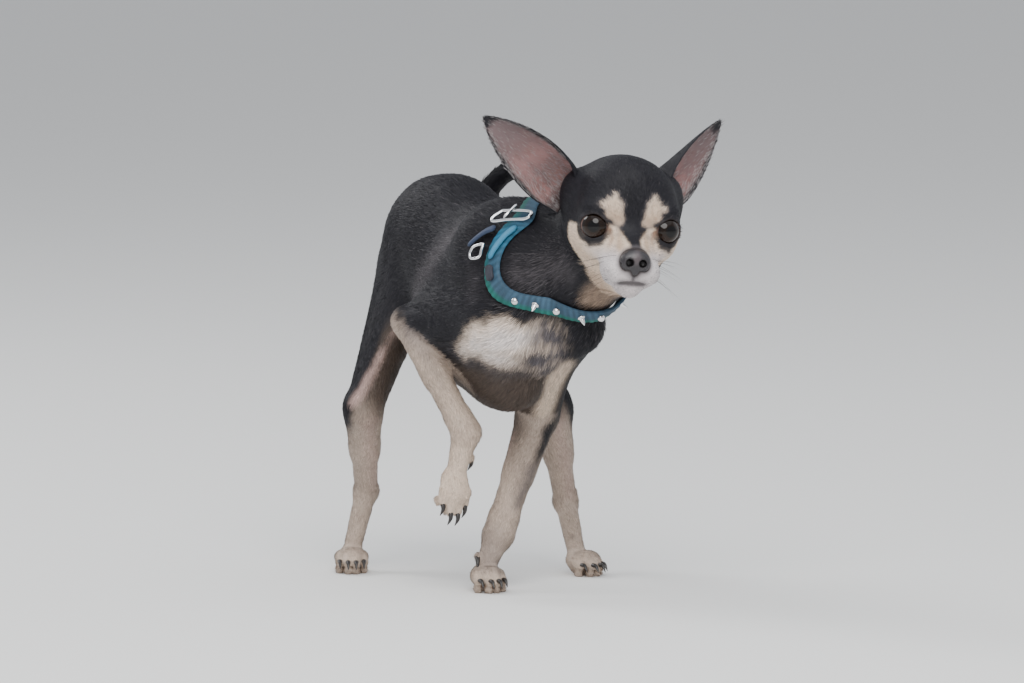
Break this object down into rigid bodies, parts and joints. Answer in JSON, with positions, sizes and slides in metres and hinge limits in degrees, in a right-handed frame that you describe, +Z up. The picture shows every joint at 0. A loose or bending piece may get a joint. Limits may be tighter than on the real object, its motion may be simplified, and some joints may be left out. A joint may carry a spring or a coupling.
{
  "type": "life-size chihuahua model",
  "caption": "Still life-size chihuahua standing with a raised forepaw, its head turned aside, large eyes and ears, curled tail and a studded leather collar.",
  "frame": {"origin": "middle of the bounding box on plan, on the floor the soles stand on", "axes": "+X along the spine towards the chest, +Y towards the animal's own left, +Z up"},
  "size_m": [0.2816, 0.1516, 0.2759],
  "materials": {
    "coat_black": "short black coat with a soft sheen, grizzled at the neck",
    "coat_tan": "short cream and grey-tan coat of the legs",
    "coat_mask": "black face with cream brow spots and cheeks and a grey muzzle",
    "ear": "thin ear, black behind, pink with pale hair inside",
    "eye": "wet dark brown eye",
    "nose": "moist black nose leather",
    "strap": "teal leather, worn at the edges",
    "dark_leather": "dark blue-black leather",
    "steel": "bright plated steel"
  },
  "bodies": {
    "root": {"trunk": "coat_black", "neck": "coat_black", "head": "coat_mask", "foreleg_right": "coat_tan", "foreleg_left": "coat_tan", "foreleg_right_paw": "coat_tan", "foreleg_left_paw": "coat_tan", "hindleg_right": "coat_tan", "hindleg_left": "coat_tan", "hindleg_right_paw": "coat_tan", "hindleg_left_paw": "coat_tan", "eye_right": "eye", "eye_left": "eye", "nose": "nose", "ear_right": "ear", "ear_left": "ear", "tail_root": "coat_black", "tail_tip": "coat_black", "strap": "strap", "keeper": "dark_leather", "strap_fold": "strap", "strap_end": "dark_leather", "buckle_frame": "steel", "buckle_pin": "steel", "lead_ring": "steel", "stud_01": "steel", "stud_02": "steel", "stud_03": "steel", "stud_04": "steel", "stud_05": "steel", "stud_06": "steel", "stud_07": "steel", "stud_08": "steel", "stud_09": "steel"}
  },
  "joints": []
}
